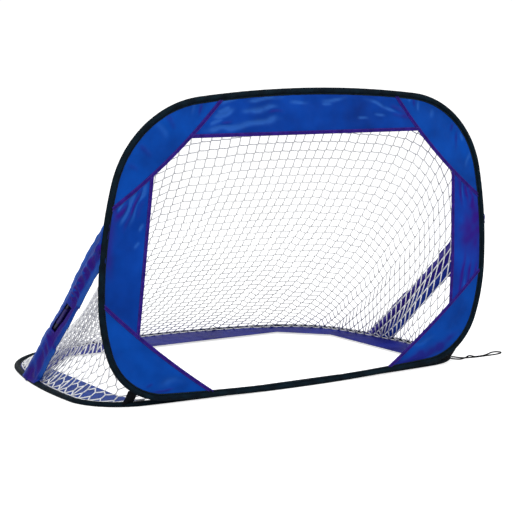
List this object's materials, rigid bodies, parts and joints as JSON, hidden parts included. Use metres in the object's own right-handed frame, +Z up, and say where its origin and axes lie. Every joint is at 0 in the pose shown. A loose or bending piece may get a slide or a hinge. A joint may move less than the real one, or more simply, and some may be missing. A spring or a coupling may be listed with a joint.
{
  "type": "pop-up goal net",
  "caption": "Portable fold-flat goal: a sprung fabric mouth hoop hinged to a ground hoop, with one draped net between them and two sleeved sectional struts holding it open.",
  "frame": {"origin": "on the ground, at the middle of the goal line: the flat underside of the ground hoop's front edge", "axes": "+X to the right along the goal line seen from the front, +Y towards the back of the net, +Z up"},
  "size_m": [1.359, 0.9214, 0.7933],
  "materials": {
    "binding": "woven nylon binding, near-black teal",
    "spring_steel": "plain spring steel",
    "band_cloth": "doubled nylon, satin sheen",
    "rear_cloth": "doubled nylon, satin sheen",
    "corner_cloth": "doubled nylon, satin sheen",
    "tape": "folded grosgrain tape",
    "pocket_web": "black webbing",
    "elastic": "braided elastic",
    "net_cord": "knotless white netting",
    "sleeve_cloth": "single nylon, loose",
    "pole_fibre": "glass-fibre tube",
    "ferrule_metal": "drawn tube",
    "tip_plastic": "moulded"
  },
  "bodies": {
    "base": {"base_rim_sleeve": "binding", "base_spring_rod": "spring_steel", "base_rod_ferrule": "spring_steel", "base_left_band": "band_cloth", "base_right_band": "band_cloth", "base_rear_band": "rear_cloth", "base_rear_left_corner": "corner_cloth", "base_rear_right_corner": "corner_cloth", "left_foot_pocket": "pocket_web", "right_foot_pocket": "pocket_web", "hinge_piping": "binding", "left_joining_tab": "pocket_web", "right_joining_tab": "pocket_web", "carrying_loop": "elastic", "goal_net": "net_cord"},
    "front": {"front_rim_sleeve": "binding", "front_spring_rod": "spring_steel", "front_rod_ferrule": "spring_steel", "front_top_band": "band_cloth", "front_left_band": "band_cloth", "front_right_band": "band_cloth", "front_top_left_corner": "corner_cloth", "front_top_right_corner": "corner_cloth", "front_bottom_left_corner": "corner_cloth", "front_bottom_right_corner": "corner_cloth", "top_left_corner_tape": "tape", "top_right_corner_tape": "tape", "bottom_left_corner_tape": "tape", "bottom_right_corner_tape": "tape", "top_band_tape": "tape", "left_band_tape": "tape", "right_band_tape": "tape", "left_top_pocket": "pocket_web", "right_top_pocket": "pocket_web"},
    "left_lower": {"left_lower_pole": "pole_fibre", "left_pole_ferrule": "ferrule_metal", "left_foot_tip": "tip_plastic", "left_lower_sleeve": "sleeve_cloth"},
    "right_lower": {"right_lower_pole": "pole_fibre", "right_pole_ferrule": "ferrule_metal", "right_foot_tip": "tip_plastic", "right_lower_sleeve": "sleeve_cloth"},
    "left_upper": {"left_upper_pole": "pole_fibre", "left_top_tip": "tip_plastic", "left_shock_cord": "elastic", "left_upper_sleeve": "sleeve_cloth"},
    "right_upper": {"right_upper_pole": "pole_fibre", "right_top_tip": "tip_plastic", "right_shock_cord": "elastic", "right_upper_sleeve": "sleeve_cloth"}
  },
  "joints": [
    {"name": "front_fold", "type": "hinge", "parent": "base", "child": "front", "pos_m": [0, -0.00615, 0.015], "axis": [-1, 0, 0], "range_deg": [0, 80], "deforming": ["goal_net", "left_joining_tab", "right_joining_tab"]},
    {"name": "left_foot_pivot", "type": "hinge", "parent": "base", "child": "left_lower", "pos_m": [-0.58868, 0.45, 0.0235], "axis": [0.9933, 0.0391, 0.1091], "range_deg": [0, 39.7], "deforming": ["left_lower_sleeve"]},
    {"name": "left_top_pivot", "type": "hinge", "parent": "front", "child": "left_upper", "pos_m": [-0.59405, -0.01686, 0.40765], "axis": [0.3417, -0.2955, -0.8921], "range_deg": [0, 97.1], "deforming": ["left_upper_sleeve", "left_shock_cord"]},
    {"name": "right_foot_pivot", "type": "hinge", "parent": "base", "child": "right_lower", "pos_m": [0.58868, 0.45, 0.0235], "axis": [0.9933, -0.0391, -0.1091], "range_deg": [0, 39.7], "deforming": ["right_lower_sleeve"]},
    {"name": "right_top_pivot", "type": "hinge", "parent": "front", "child": "right_upper", "pos_m": [0.59405, -0.01686, 0.40765], "axis": [0.3417, 0.2955, 0.8921], "range_deg": [0, 97.1], "deforming": ["right_upper_sleeve", "right_shock_cord"]}
  ],
  "couplings": [
    {"joint": "left_foot_pivot", "follows": "front_fold", "ratio": 0.4962},
    {"joint": "left_top_pivot", "follows": "front_fold", "ratio": 1.2127},
    {"joint": "right_foot_pivot", "follows": "front_fold", "ratio": 0.4962},
    {"joint": "right_top_pivot", "follows": "front_fold", "ratio": 1.2127}
  ]
}
